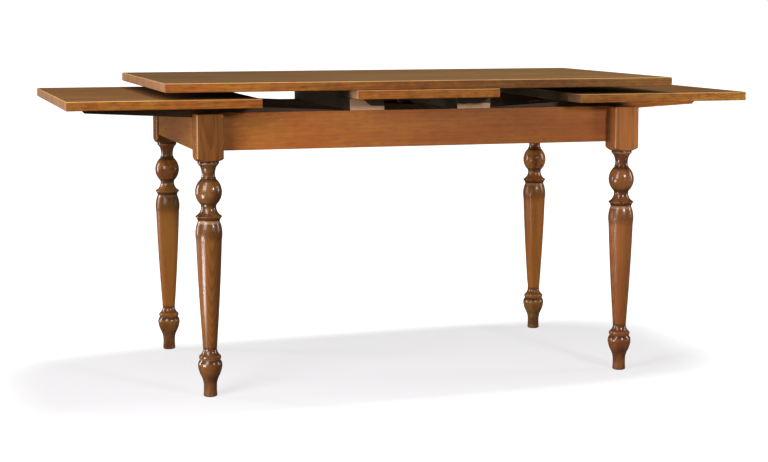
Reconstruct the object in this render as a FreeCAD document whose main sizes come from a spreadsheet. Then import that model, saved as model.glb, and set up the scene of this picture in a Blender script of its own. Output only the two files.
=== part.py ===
# Extending dining table with turned legs and two leaves that draw out from under the top.
# Millimetres, +Z up, origin on the floor below the middle of the frame, X along the table, front at -Y.
# The leaves stand partly drawn out. Each one slides on a slope, so that it rises as it comes out.
import FreeCAD, Part
import Sketcher
import os
import re

SIZES = {
    # boards: top, bridge and leaves
    "top_length": 1400, "top_width": 775, "board_thickness": 24, "board_edge_radius": 3,
    "bridge_length": 394, "leaf_length": 498,
    # frame
    "frame_height": 738, "leg_square": 70, "square_length": 124, "leg_edge_radius": 4,
    "end_overhang": 85, "side_overhang": 28.5,
    "apron_height": 98, "apron_thickness": 22, "end_apron_setback": 6, "apron_edge_radius": 2,
    "tenon_length": 30, "tenon_thickness": 10, "tenon_shoulder": 12, "joint_gap": 0.2,
    # corner blocks inside the frame
    "corner_reach": 105, "corner_height": 46, "corner_nose": 22, "corner_lift": 6,
    # lengths up the turned leg, from the floor to the square; the shaft takes what these leave
    "toe_length": 5, "foot_length": 26, "ogee_low_length": 22, "ogee_high_length": 29, "bulb_length": 11,
    "groove_length": 4, "ring_length": 10, "ankle_length": 18, "shoulder_length": 44, "step_length": 4,
    "rim_length": 11, "lip_length": 3, "bell_length": 29, "ball_length": 67, "bead_length": 4, "neck_length": 18,
    "flare_length": 15, "collar_length": 7, "pommel_length": 26,
    # radii at the ends of those lengths
    "sole_radius": 14, "toe_radius": 17.8, "waist_radius": 17.2, "ogee_radius": 23, "bulb_radius": 31.8,
    "bulb_top_radius": 29, "groove_radius": 26.5, "ring_radius": 28.4, "ankle_radius": 18,
    "shaft_radius": 33.6, "shoulder_radius": 30, "step_radius": 28.5, "rim_radius": 34, "lip_radius": 33.4,
    "ball_foot_radius": 20.5, "bead_radius": 19, "neck_foot_radius": 18, "neck_radius": 18.5, "flare_radius": 26,
    "collar_radius": 27,
    # how far each turned stretch bows out from the straight line between its ends, or is hollowed in from it
    "toe_bow": 1.5, "foot_hollow": 0.4, "ogee_hollow": 1.2, "ogee_bow": 1.6, "bulb_bow": 0.8, "ring_bow": 1.2,
    "ankle_hollow": 2.4, "shaft_bow": 1.5, "shoulder_bow": 3, "rim_hollow": 1.2, "lip_bow": 0.8, "bell_hollow": 5.5,
    "ball_bow": 15, "bead_bow": 1.5, "neck_hollow": 1, "flare_hollow": 1.5, "collar_bow": 1.5, "pommel_bow": 2,
    # bearers that carry the bridge and keep the runner tails down
    "bearer_width": 95, "bearer_height": 33, "bearer_edge_radius": 1.5,
    # runners under the leaves
    "runner_width": 22, "lane_gap": 1.5, "tail_depth": 33, "outer_runner_inset": 48, "inner_runner_inset": 93,
    "runner_nose": 10,
    "leaf_rise": 26, "leaf_lift": 2, "bridge_gap": 5, "running_gap": 0.4, "notch_gap": 1,
    # how far each leaf stands out beyond its closed place, and how far it can come
    "left_drawn": 247, "right_drawn": 227, "full_draw": 500,
    # stop pegs on the runner tails
    "stop_radius": 5, "stop_height": 10, "stop_depth": 14, "stop_inset": 12, "stop_gap": 1, "stop_fit": 0.1,
    # guide pegs under the top
    "peg_radius": 8, "peg_length": 48, "peg_depth": 12, "peg_spread": 240, "peg_gap": 0.3, "peg_fit": 0.1,
    "peg_chamfer": 2,
    # screws: runners to leaves, bridge to aprons, corner blocks to aprons
    "screw_gap": 0.1,
    "runner_screw_radius": 2, "runner_screw_head_radius": 4, "runner_screw_head_length": 3,
    "runner_screw_bite": 14, "runner_screw_wood": 7, "runner_screw_inset": 40, "runner_screw_step": 165,
    "bridge_screw_radius": 3, "bridge_screw_head_radius": 6, "bridge_screw_head_length": 4,
    "bridge_screw_bite": 26, "bridge_screw_sink": 6, "bridge_screw_spread": 50,
    "corner_screw_radius": 2.5, "corner_screw_head_radius": 4.5, "corner_screw_head_length": 3,
    "corner_screw_bite": 16, "corner_screw_wood": 20, "corner_screw_inset": 62,
    # how far a cut runs past what it cuts
    "overrun": 2,
}
TOUCH = 1e-6
SIDES_X = {"left": -1, "right": 1}
SIDES_Y = {"front": -1, "back": 1}
UP = FreeCAD.Vector(0, 0, 1)
DOWN = FreeCAD.Vector(0, 0, -1)

doc = FreeCAD.newDocument("extending_table")
sizes = doc.addObject("Spreadsheet::Sheet", "sizes")
for row, (alias, size) in enumerate(SIZES.items(), start=1):
    sizes.set(f"A{row}", alias)
    sizes.set(f"B{row}", str(size))
    sizes.setAlias(f"B{row}", alias)
doc.recompute()

# Heights and places that several pieces share, as expressions on the sizes

LEG_X = "(top_length/2 - end_overhang - leg_square/2)"
LEG_Y = "(top_width/2 - side_overhang - leg_square/2)"
LEG_INNER_X = f"({LEG_X} - leg_square/2)"
LEG_INNER_Y = f"({LEG_Y} - leg_square/2)"
END_APRON_INNER_X = f"({LEG_X} + leg_square/2 - end_apron_setback - apron_thickness)"
LONG_APRON_Y = f"({LEG_INNER_Y} + apron_thickness/2)"
APRON_BOTTOM = "(frame_height - apron_height)"
BRIDGE_BOTTOM = "(frame_height + bearer_height)"
TOP_BOTTOM = f"({BRIDGE_BOTTOM} + board_thickness)"
LEAF_BOTTOM = "(frame_height + leaf_lift)"
LEAF_INNER_X = "(bridge_length/2 + bridge_gap)"
LEAF_OUTER_X = f"({LEAF_INNER_X} + leaf_length)"
BEARER_INNER_X = "(bridge_length/2 - bearer_width)"
TENON_HEIGHT = "(apron_height - 2*tenon_shoulder)"
SLOPE = "(leaf_rise/leaf_length)"

# The right leaf's runners lie in the inner lane at the front and in the outer lane at the back.
# The left leaf is the same thing turned half round, so all four runners pass each other.
RUNNER_LANES = {
    "front": f"(-({LEG_INNER_Y} - 2*lane_gap - 3*runner_width/2))",
    "back": f"({LEG_INNER_Y} - lane_gap - runner_width/2)",
}
RUNNER_INSETS = {"front": "inner_runner_inset", "back": "outer_runner_inset"}


def tail_top(x):
    """Height of a runner tail's top edge at x, on the side that the leaf draws out of."""
    return f"(frame_height - running_gap + {SLOPE}*({x} - bridge_length/2))"


def tail_bottom(x):
    """Height of a runner's lower edge at x."""
    return f"({tail_top(x)} - tail_depth)"


def outwards(side, near, length):
    """Low end of a stretch that starts at near, on the plus or minus side, and runs outwards."""
    return near if side > 0 else f"(-({near}) - {length})"


def inwards(side, face, depth):
    """Low end of a cut that enters through a face on the plus or minus side and goes in by depth."""
    return f"({face} - {depth})" if side > 0 else f"(-({face}) - overrun)"


# Building blocks

def bound(text):
    """An expression on the sheet's cells, from one written with their bare names."""
    return re.sub("[a-z_]+", lambda word: f"sizes.{word[0]}" if word[0] in SIZES else word[0], text)


def value(text):
    """What such an expression comes to now."""
    return float(sizes.evalExpression(bound(text)))


def tie(item, **properties):
    """Binds an object's properties to expressions; place_x stands for Placement.Base.x."""
    for name, text in properties.items():
        item.setExpression(name.replace("place_", "Placement.Base."), bound(text))


def new_body(label):
    body = doc.addObject("PartDesign::Body", label)
    body.Label = label
    return body


def settle(body, feature, before=None):
    """Recomputes after a new feature. A cut has to leave less than the volume before it."""
    doc.recompute()
    if before is not None and body.Shape.Volume > before - TOUCH:
        raise RuntimeError(f"{feature.Name} cuts nothing")
    return feature


def add_box(body, name, corner, size):
    item = body.newObject("PartDesign::AdditiveBox", name)
    tie(item, Length=size[0], Width=size[1], Height=size[2])
    tie(item, place_x=corner[0], place_y=corner[1], place_z=corner[2])
    return settle(body, item)


def cut_box(body, name, corner, size):
    before = body.Shape.Volume
    item = body.newObject("PartDesign::SubtractiveBox", name)
    tie(item, Length=size[0], Width=size[1], Height=size[2])
    tie(item, place_x=corner[0], place_y=corner[1], place_z=corner[2])
    return settle(body, item, before)


def drill(body, name, start, direction, radius, depth):
    """A round hole from its start along a direction."""
    before = body.Shape.Volume
    item = body.newObject("PartDesign::SubtractiveCylinder", name)
    item.Placement = FreeCAD.Placement(FreeCAD.Vector(), FreeCAD.Rotation(UP, direction))
    tie(item, Radius=radius, Height=depth, place_x=start[0], place_y=start[1], place_z=start[2])
    return settle(body, item, before)


def round_edges(body, name, radius, wanted):
    """Rounds those edges of the body that the test picks."""
    base = body.Tip
    item = body.newObject("PartDesign::Fillet", name)
    item.Base = (base, [f"Edge{count}" for count, edge in enumerate(base.Shape.Edges, start=1) if wanted(edge)])
    tie(item, Radius=radius)
    return settle(body, item)


def every_edge(edge):
    return True


def is_lower_arris(edge):
    """An edge that lies along the bottom of an apron."""
    return all(abs(vertex.Z - value(APRON_BOTTOM)) < TOUCH for vertex in edge.Vertexes)


def is_leg_arris(edge):
    """An upright edge at a corner of a leg's square."""
    half = value("leg_square/2")
    return all(abs(abs(place) - half) < TOUCH for vertex in edge.Vertexes for place in (vertex.X, vertex.Y))


def pin(sketch, point, kind, text, axis):
    """Holds a sketch point at a distance from the origin, or on the axis where the distance is zero."""
    if text == "0":
        sketch.addConstraint(Sketcher.Constraint("PointOnObject", *point, axis))
        return
    constraint = sketch.addConstraint(Sketcher.Constraint(kind, -1, 1, *point, value(text)))
    sketch.setExpression(f"Constraints[{constraint}]", bound(text))


def bow_radius(start, end, bow):
    """Radius of the arc between two points that stands off their straight line by the bow."""
    chord = f"(({end[0]} - {start[0]})^2 + ({end[1]} - {start[1]})^2)"
    return f"({chord}/4 + ({bow})^2)/(2*abs({bow}))"


def add_stretch(sketch, start, end, bow):
    """A line, or an arc bowed to the right of the way from start to end. Gives its two end points."""
    first = FreeCAD.Vector(value(start[0]), value(start[1]), 0)
    last = FreeCAD.Vector(value(end[0]), value(end[1]), 0)
    if bow is None:
        line = sketch.addGeometry(Part.LineSegment(first, last), False)
        return (line, 1), (line, 2)
    along = last - first
    aside = FreeCAD.Vector(along.y, -along.x, 0).normalize()
    middle = (first + last)*0.5 + aside*value(bow)
    arc = sketch.addGeometry(Part.Arc(first, middle, last), False)
    forwards = sketch.getPoint(arc, 1).distanceToPoint(first) < TOUCH
    return ((arc, 1), (arc, 2)) if forwards else ((arc, 2), (arc, 1))


def outline(body, name, points, plane="XZ_Plane", offset="0"):
    """A closed sketch. Each point is its two places and the bow of the stretch to the next point."""
    sketch = body.newObject("Sketcher::SketchObject", name)
    support = next(item for item in body.Origin.OriginFeatures if item.Role == plane)
    sketch.AttachmentSupport = [(support, "")]
    sketch.MapMode = "FlatFace"
    sketch.setExpression("AttachmentOffset.Base.z", bound(offset))
    following = points[1:] + points[:1]
    stretches = [add_stretch(sketch, start, end, start[2]) for start, end in zip(points, following)]
    for count, (start, end) in enumerate(zip(points, following)):
        first, last = stretches[count]
        next_first, next_last = stretches[(count + 1) % len(stretches)]
        sketch.addConstraint(Sketcher.Constraint("Coincident", *last, *next_first))
        pin(sketch, first, "DistanceX", start[0], -2)
        pin(sketch, first, "DistanceY", start[1], -1)
        if start[2] is not None:
            radius = bow_radius(start, end, start[2])
            constraint = sketch.addConstraint(Sketcher.Constraint("Radius", first[0], value(radius)))
            sketch.setExpression(f"Constraints[{constraint}]", bound(radius))
    settle(body, sketch)
    return sketch


def turn(body, kind, name, sketch):
    """Turns a sketch once round the upright axis of its body."""
    before = body.Shape.Volume if kind == "PartDesign::Groove" else None
    item = body.newObject(kind, name)
    item.Profile = sketch
    item.ReferenceAxis = (sketch, ["V_Axis"])
    item.Angle = 360
    return settle(body, item, before)


def pad(body, name, sketch, length, both_ways=False):
    item = body.newObject("PartDesign::Pad", name)
    item.Profile = sketch
    item.Midplane = both_ways
    tie(item, Length=length)
    return settle(body, item)


def group(label, members):
    """Like pieces kept as one node of separate solids."""
    item = doc.addObject("Part::Compound", label)
    item.Label = label
    item.Links = members
    return item


def rod(name, start, direction, radius, length):
    item = doc.addObject("Part::Cylinder", name)
    item.Placement = FreeCAD.Placement(FreeCAD.Vector(), FreeCAD.Rotation(UP, direction))
    tie(item, Radius=radius, Height=length, place_x=start[0], place_y=start[1], place_z=start[2])
    return item


def screw(kind, name, seat, direction, length, counterbore, head_piece, pierced):
    """A screw whose head lies on its seat, with the hole for its head in one piece and for its shank in all."""
    back = direction*-1
    shank = rod(f"{name}_shank", seat, direction, f"{kind}_radius", length)
    head = rod(f"{name}_head", seat, back, f"{kind}_head_radius", f"{kind}_head_length")
    whole = doc.addObject("Part::Fuse", name)
    whole.Base = shank
    whole.Tool = head
    drill(head_piece, f"{name}_counterbore", seat, back, f"{kind}_head_radius + screw_gap", counterbore)
    for piece in pierced:
        hole = f"{name}_hole_{piece.Name}"
        drill(piece, hole, seat, direction, f"{kind}_radius + screw_gap", f"{length} + screw_gap")
    return whole


# Legs

BELOW_SHAFT = ["toe", "foot", "ogee_low", "ogee_high", "bulb", "groove", "ring", "ankle"]
ABOVE_SHAFT = ["shoulder", "step", "rim", "lip", "bell", "ball", "bead", "neck", "flare", "collar"]
LEG_RADII = ["sole", "toe", "waist", "ogee", "bulb", "bulb_top", "groove", "ring", "ankle", "shaft", "shoulder",
             "step", "rim", "lip", "ball_foot", "bead", "neck_foot", "neck", "flare", "collar"]
LEG_BOWS = ["toe_bow", "-foot_hollow", "-ogee_hollow", "ogee_bow", "bulb_bow", None, "ring_bow", "-ankle_hollow",
            "shaft_bow", "shoulder_bow", None, "-rim_hollow", "lip_bow", "-bell_hollow", "ball_bow", "bead_bow",
            "-neck_hollow", "-flare_hollow", "collar_bow", None]


def leg_height(count):
    """Height above the floor after so many of the turned stretches, the shaft among them."""
    if count == 0:
        return "0"
    if count <= len(BELOW_SHAFT):
        return "(" + " + ".join(f"{name}_length" for name in BELOW_SHAFT[:count]) + ")"
    left = ABOVE_SHAFT[count - len(BELOW_SHAFT) - 1:]
    return "(frame_height - square_length" + "".join(f" - {name}_length" for name in left) + ")"


SQUARE_BOTTOM = "(frame_height - square_length)"


def make_leg(label, side_x, side_y):
    """A leg turned below a square, which has the mortises for its two aprons."""
    body = new_body(label)
    profile = [("0", "0", None)]
    for count, (radius, bow) in enumerate(zip(LEG_RADII, LEG_BOWS)):
        profile.append((f"{radius}_radius", leg_height(count), bow))
    profile.append(("0", SQUARE_BOTTOM, None))
    turn(body, "PartDesign::Revolution", f"{label}_turning", outline(body, f"{label}_profile", profile))
    add_box(body, f"{label}_square", ("-leg_square/2", "-leg_square/2", SQUARE_BOTTOM),
            ("leg_square", "leg_square", "square_length"))
    waste = [("collar_radius", SQUARE_BOTTOM, None), ("leg_square", SQUARE_BOTTOM, None),
             ("leg_square", f"({SQUARE_BOTTOM} + pommel_length)", "-pommel_bow")]
    turn(body, "PartDesign::Groove", f"{label}_pommel", outline(body, f"{label}_waste", waste))
    round_edges(body, f"{label}_arris", "leg_edge_radius", is_leg_arris)
    depth = "(tenon_length + joint_gap)"
    width = "(tenon_thickness + 2*joint_gap)"
    height = f"({TENON_HEIGHT} + 2*joint_gap)"
    low = f"({APRON_BOTTOM} + tenon_shoulder - joint_gap)"
    cut_box(body, f"{label}_long_mortise",
            (inwards(-side_x, "leg_square/2", depth), f"{side_y}*({LONG_APRON_Y} - {LEG_Y}) - {width}/2", low),
            (f"{depth} + overrun", width, height))
    cut_box(body, f"{label}_end_mortise",
            (f"{side_x}*({END_APRON_INNER_X} + apron_thickness/2 - {LEG_X}) - {width}/2",
             inwards(-side_y, "leg_square/2", depth), low),
            (width, f"{depth} + overrun", height))
    tie(body, place_x=f"{side_x}*{LEG_X}", place_y=f"{side_y}*{LEG_Y}")
    return body


# Aprons

def make_long_apron(label, side_y):
    body = new_body(label)
    add_box(body, f"{label}_blank",
            (f"-{LEG_INNER_X}", f"{side_y}*{LONG_APRON_Y} - apron_thickness/2", APRON_BOTTOM),
            (f"2*{LEG_INNER_X}", "apron_thickness", "apron_height"))
    round_edges(body, f"{label}_arris", "apron_edge_radius", is_lower_arris)
    for name, side_x in SIDES_X.items():
        add_box(body, f"{label}_{name}_tenon",
                (outwards(side_x, LEG_INNER_X, "tenon_length"),
                 f"{side_y}*{LONG_APRON_Y} - tenon_thickness/2", f"{APRON_BOTTOM} + tenon_shoulder"),
                ("tenon_length", "tenon_thickness", TENON_HEIGHT))
    return body


def make_end_apron(label, side_x):
    """An end apron, notched from above where the runners of its leaf pass."""
    body = new_body(label)
    low_x = outwards(side_x, END_APRON_INNER_X, "apron_thickness")
    add_box(body, f"{label}_blank", (low_x, f"-{LEG_INNER_Y}", APRON_BOTTOM),
            ("apron_thickness", f"2*{LEG_INNER_Y}", "apron_height"))
    round_edges(body, f"{label}_arris", "apron_edge_radius", is_lower_arris)
    for name, side_y in SIDES_Y.items():
        add_box(body, f"{label}_{name}_tenon",
                (f"{low_x} + apron_thickness/2 - tenon_thickness/2",
                 outwards(side_y, LEG_INNER_Y, "tenon_length"), f"{APRON_BOTTOM} + tenon_shoulder"),
                ("tenon_thickness", "tenon_length", TENON_HEIGHT))
    notch_bottom = f"({tail_bottom(END_APRON_INNER_X)} - running_gap)"
    for name, lane in RUNNER_LANES.items():
        cut_box(body, f"{label}_{name}_notch",
                (f"{low_x} - overrun", f"{side_x}*{lane} - runner_width/2 - notch_gap", notch_bottom),
                ("apron_thickness + 2*overrun", "runner_width + 2*notch_gap",
                 f"frame_height + overrun - {notch_bottom}"))
    return body


# Corner blocks

def make_corner_block(label, side_x, side_y):
    """A block across the corner between two aprons, below the path of the runners."""
    body = new_body(label)
    reaches = [("0", "0"), ("corner_reach", "0"), ("corner_reach", "corner_nose"),
               ("corner_nose", "corner_reach"), ("0", "corner_reach")]
    points = [(f"({side_x}*({END_APRON_INNER_X} - {reach_x}))", f"({side_y}*({LEG_INNER_Y} - {reach_y}))", None)
              for reach_x, reach_y in reaches]
    shape = outline(body, f"{label}_plan", points, "XY_Plane", f"{APRON_BOTTOM} + corner_lift")
    pad(body, f"{label}_pad", shape, "corner_height")
    return body


def make_corner_screws(label, block, side_x, side_y, long_apron, end_apron):
    """The two screws of a corner block, one into each apron."""
    height = f"({APRON_BOTTOM} + corner_lift + corner_height/2)"
    along_x = f"{side_x}*({END_APRON_INNER_X} - corner_screw_inset)"
    along_y = f"{side_y}*({LEG_INNER_Y} - corner_screw_inset)"
    seat_x = f"{side_x}*({END_APRON_INNER_X} - corner_screw_wood)"
    seat_y = f"{side_y}*({LEG_INNER_Y} - corner_screw_wood)"
    length = "(corner_screw_wood + corner_screw_bite)"
    return [
        screw("corner_screw", f"{label}_long", (along_x, seat_y, height), FreeCAD.Vector(0, side_y, 0),
              length, "corner_reach", block, [block, long_apron]),
        screw("corner_screw", f"{label}_end", (seat_x, along_y, height), FreeCAD.Vector(side_x, 0, 0),
              length, "corner_reach", block, [block, end_apron]),
    ]


# Bridge

def make_bearer(label, side_x):
    """A bearer from apron to apron, which carries the bridge and lies over the runner tails."""
    body = new_body(label)
    outer_y = f"({LONG_APRON_Y} + apron_thickness/2)"
    add_box(body, f"{label}_blank",
            (outwards(side_x, BEARER_INNER_X, "bearer_width"), f"-{outer_y}", "frame_height"),
            ("bearer_width", f"2*{outer_y}", "bearer_height"))
    round_edges(body, f"{label}_arris", "bearer_edge_radius", every_edge)
    return body


def make_board(label, length, bottom, low_x):
    """A board as wide as the table, with rounded edges."""
    body = new_body(label)
    add_box(body, f"{label}_blank", (low_x, "-top_width/2", bottom), (length, "top_width", "board_thickness"))
    round_edges(body, f"{label}_arris", "board_edge_radius", every_edge)
    return body


def make_bridge_screws(label, side_x, side_y, bridge, bearer, apron):
    """Long screws down through the bridge and a bearer into the apron under them."""
    length = "(board_thickness - bridge_screw_sink + bearer_height + bridge_screw_bite)"
    screws = []
    for name, shift in SIDES_X.items():
        middle = f"{side_x}*({BEARER_INNER_X} + bearer_width/2) + {shift}*bridge_screw_spread/2"
        seat = (middle, f"{side_y}*{LONG_APRON_Y}", f"{TOP_BOTTOM} - bridge_screw_sink")
        screws.append(screw("bridge_screw", f"{label}_{name}", seat, DOWN, length,
                            "bridge_screw_sink + overrun", bridge, [bridge, bearer, apron]))
    return screws


# Top

def make_guide_peg(label, side_y, top, bridge):
    """A peg set in the top, which slides in a hole of the bridge and keeps the loose top in place."""
    body = new_body(label)
    foot = ("0", f"{side_y}*peg_spread/2", f"({TOP_BOTTOM} - peg_length)")
    item = body.newObject("PartDesign::AdditiveCylinder", f"{label}_rod")
    tie(item, Radius="peg_radius", Height="peg_length + peg_depth - peg_fit")
    tie(item, place_x=foot[0], place_y=foot[1], place_z=foot[2])
    settle(body, item)
    lowest = item.Shape.BoundBox.ZMin
    rims = [f"Edge{count}" for count, edge in enumerate(item.Shape.Edges, start=1)
            if edge.BoundBox.ZMax < lowest + TOUCH]
    chamfer = body.newObject("PartDesign::Chamfer", f"{label}_chamfer")
    chamfer.Base = (item, rims)
    tie(chamfer, Size="peg_chamfer")
    settle(body, chamfer)
    drill(top, f"{label}_socket", foot, UP, "peg_radius + peg_fit", "peg_length + peg_depth")
    drill(bridge, f"{label}_guide", foot, UP, "peg_radius + peg_gap", "peg_length + overrun")
    return body


# Leaves

def make_runner(label, lane, inset):
    """A runner: flat under the leaf, sloped below, with a tail that stays under the bearers."""
    body = new_body(label)
    nose_x = f"({LEAF_OUTER_X} - {inset})"
    nose_start_x = f"({nose_x} - runner_nose)"
    tail_x = f"({STOP_X} - stop_inset)"
    points = [
        (tail_x, tail_bottom(tail_x), None), (nose_start_x, tail_bottom(nose_start_x), None),
        (nose_x, f"({tail_bottom(nose_x)} + runner_nose)", None), (nose_x, LEAF_BOTTOM, None),
        (LEAF_INNER_X, LEAF_BOTTOM, None), (LEAF_INNER_X, tail_top(LEAF_INNER_X), None),
        (tail_x, tail_top(tail_x), None),
    ]
    shape = outline(body, f"{label}_profile", points, offset=f"-{lane}")
    pad(body, f"{label}_pad", shape, "runner_width", both_ways=True)
    return body


STOP_X = f"({BEARER_INNER_X} - stop_gap - stop_radius - full_draw)"


def make_leaf(side, angle):
    """A leaf board with its two runners, screws and stop pegs, built closed on the right and then drawn out."""
    leaf = make_board(f"{side}_leaf", "leaf_length", LEAF_BOTTOM, LEAF_INNER_X)
    ends = list(RUNNER_LANES) if side == "right" else list(reversed(RUNNER_LANES))
    runners = []
    screws = []
    stops = []
    for end, (place, lane) in zip(ends, RUNNER_LANES.items()):
        label = f"{side}_runner_{end}"
        runner = make_runner(label, lane, RUNNER_INSETS[place])
        runners.append(runner)
        for count in range(3):
            place_x = f"({LEAF_INNER_X} + runner_screw_inset + {count}*runner_screw_step)"
            seat = (place_x, lane, f"({LEAF_BOTTOM} - runner_screw_wood)")
            screws.append(screw("runner_screw", f"{label}_screw_{count}", seat, UP,
                                "(runner_screw_wood + runner_screw_bite)", "tail_depth", runner, [runner, leaf]))
        stop_foot = (STOP_X, lane, f"({tail_top(STOP_X)} - stop_depth)")
        stops.append(rod(f"{label}_stop", stop_foot, UP, "stop_radius", "stop_depth + stop_height"))
        drill(runner, f"{label}_stop_hole", stop_foot, UP, "stop_radius + stop_fit", "stop_depth + overrun")
    pieces = [leaf, *runners, group(f"{side}_runner_screws", screws), group(f"{side}_stop_pegs", stops)]
    for piece in pieces:
        piece.Placement = FreeCAD.Placement(FreeCAD.Vector(), FreeCAD.Rotation(UP, angle))
        tie(piece, place_x=f"{SIDES_X[side]}*{side}_drawn", place_z=f"{SLOPE}*{side}_drawn")
    return pieces


# The table

nodes = []
long_aprons = {name: make_long_apron(f"{name}_apron", side) for name, side in SIDES_Y.items()}
end_aprons = {name: make_end_apron(f"{name}_end_apron", side) for name, side in SIDES_X.items()}
bridge = make_board("bridge_board", "bridge_length", BRIDGE_BOTTOM, "-bridge_length/2")
bearers = {name: make_bearer(f"bridge_bearer_{name}", side) for name, side in SIDES_X.items()}
corner_screws = []
bridge_screws = []
for end_name, end_side in SIDES_X.items():
    for long_name, long_side in SIDES_Y.items():
        corner = f"{long_name}_{end_name}"
        nodes.append(make_leg(f"leg_{corner}", end_side, long_side))
        corner_block = make_corner_block(f"corner_block_{corner}", end_side, long_side)
        corner_screws += make_corner_screws(f"corner_screw_{corner}", corner_block, end_side, long_side,
                                            long_aprons[long_name], end_aprons[end_name])
        bridge_screws += make_bridge_screws(f"bridge_screw_{corner}", end_side, long_side, bridge,
                                            bearers[end_name], long_aprons[long_name])
        nodes.append(corner_block)
nodes += [*long_aprons.values(), *end_aprons.values(), *bearers.values(), bridge]
nodes += [group("corner_screws", corner_screws), group("bridge_screws", bridge_screws)]

top = make_board("main_top", "top_length", TOP_BOTTOM, "-top_length/2")
nodes += [make_guide_peg(f"guide_peg_{name}", side, top, bridge) for name, side in SIDES_Y.items()]
nodes.append(top)
nodes += make_leaf("right", 0)
nodes += make_leaf("left", 180)
doc.recompute()

for item in doc.Objects:
    if "Invalid" in item.State or "Error" in item.State:
        raise RuntimeError(f"{item.Name} failed: {item.State}")
for node in nodes:
    if node.Shape.isNull() or not node.Shape.isValid():
        raise RuntimeError(f"{node.Label} has no valid shape")

os.makedirs("parts", exist_ok=True)
for node in nodes:
    node.Shape.exportStep(f"parts/{node.Label}.step")
    print(f"{node.Label}: {len(node.Shape.Solids)} solids, {node.Shape.Volume:.0f} cubic mm")
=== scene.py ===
"""Looks of the extending table: stained wood, bare blocks, zinc screws and a plain white studio."""

import math

import bpy
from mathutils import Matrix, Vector


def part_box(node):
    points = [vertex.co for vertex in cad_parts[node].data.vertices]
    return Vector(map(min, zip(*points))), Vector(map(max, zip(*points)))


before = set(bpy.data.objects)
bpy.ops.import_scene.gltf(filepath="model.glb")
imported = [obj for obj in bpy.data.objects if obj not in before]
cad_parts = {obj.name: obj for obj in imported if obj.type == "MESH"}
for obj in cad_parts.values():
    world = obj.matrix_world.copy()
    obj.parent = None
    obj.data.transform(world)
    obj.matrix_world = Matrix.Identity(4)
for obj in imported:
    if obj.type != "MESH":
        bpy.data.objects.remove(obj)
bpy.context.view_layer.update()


class Wire:
    """One output of a shader node. Sums written with it add Math nodes."""

    def __init__(self, finish, socket):
        self.finish = finish
        self.socket = socket

    def maths(self, operation, *terms):
        return self.finish.node("ShaderNodeMath", {"operation": operation}, dict(enumerate(terms)))

    def __add__(self, other):
        return self.maths("ADD", self, other)

    def __radd__(self, other):
        return self.maths("ADD", other, self)

    def __sub__(self, other):
        return self.maths("SUBTRACT", self, other)

    def __rsub__(self, other):
        return self.maths("SUBTRACT", other, self)

    def __mul__(self, other):
        return self.maths("MULTIPLY", self, other)

    def __rmul__(self, other):
        return self.maths("MULTIPLY", other, self)

    def __truediv__(self, other):
        return self.maths("DIVIDE", self, other)

    def __rtruediv__(self, other):
        return self.maths("DIVIDE", other, self)

    def __pow__(self, other):
        return self.maths("POWER", self, other)

    def __rpow__(self, other):
        return self.maths("POWER", other, self)

    def __mod__(self, other):
        return self.maths("FLOORED_MODULO", self, other)

    def __rmod__(self, other):
        return self.maths("FLOORED_MODULO", other, self)

    def __neg__(self):
        return self * -1.0

    def __abs__(self):
        return self.maths("ABSOLUTE", self)

    def between(self, low, high):
        """Rises smoothly from 0 at low to 1 at high."""
        settings = {"interpolation_type": "SMOOTHSTEP"}
        sockets = {"Value": self, "From Min": low, "From Max": high}
        return self.finish.node("ShaderNodeMapRange", settings, sockets)


class Finish:
    """A material, or the world's light, built up node by node."""

    def __init__(self, owner):
        owner.use_nodes = True
        self.tree = owner.node_tree
        self.tree.nodes.clear()

    def node(self, kind, settings=None, sockets=None, out=None):
        """Adds a node with its settings and its sockets' values or links, and gives one of its outputs."""
        made = self.tree.nodes.new(kind)
        for key, value in (settings or {}).items():
            setattr(made, key, value)
        shown = [socket for socket in made.inputs if socket.enabled]
        named = {socket.name: socket for socket in reversed(shown)}
        for key, value in (sockets or {}).items():
            socket = shown[key] if isinstance(key, int) else named[key]
            if isinstance(value, Wire):
                self.tree.links.new(value.socket, socket)
            else:
                socket.default_value = value
        outputs = [socket for socket in made.outputs if socket.enabled]
        if not outputs:
            return None
        return Wire(self, made.outputs[out] if out else outputs[0])

    def parts(self, vector):
        """The three parts of a vector, as three wires."""
        return [self.node("ShaderNodeSeparateXYZ", sockets={0: vector}, out=axis) for axis in "XYZ"]

    def place(self):
        """The point on the piece, in metres: to the right, to the back and up."""
        return self.parts(self.node("ShaderNodeTexCoord", out="Object"))

    def facing(self):
        """How far a face looks to the right, to the back and up."""
        return self.parts(self.node("ShaderNodeTexCoord", out="Normal"))

    def point(self, x, y, z):
        return self.node("ShaderNodeCombineXYZ", sockets={0: x, 1: y, 2: z})

    def noise(self, point, detail, roughness=0.5):
        """Noise from 0 to 1. Detail is how many finer layers it has, and roughness how strong those are."""
        sockets = {"Vector": point, "Scale": 1.0, "Detail": detail, "Roughness": roughness}
        return self.node("ShaderNodeTexNoise", sockets=sockets)

    def blend(self, amount, first, second, way="MIX"):
        """A mix of two colours."""
        settings = {"data_type": "RGBA", "blend_type": way, "clamp_factor": True}
        return self.node("ShaderNodeMix", settings, {"Factor": amount, "A": first, "B": second})

    def bump(self, height, strength, distance):
        sockets = {"Height": height, "Strength": strength, "Distance": distance}
        return self.node("ShaderNodeBump", sockets=sockets)

    def surface(self, sockets):
        shader = self.node("ShaderNodeBsdfPrincipled", sockets=sockets)
        self.node("ShaderNodeOutputMaterial", sockets={"Surface": shader})


def shade(red, green, blue):
    """A colour written as screen values from 0 to 255, turned into light."""
    parts = [part / 255.0 for part in (red, green, blue)]
    linear = [part / 12.92 if part <= 0.04045 else ((part + 0.055) / 1.055) ** 2.4 for part in parts]
    return (*linear, 1.0)


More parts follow.
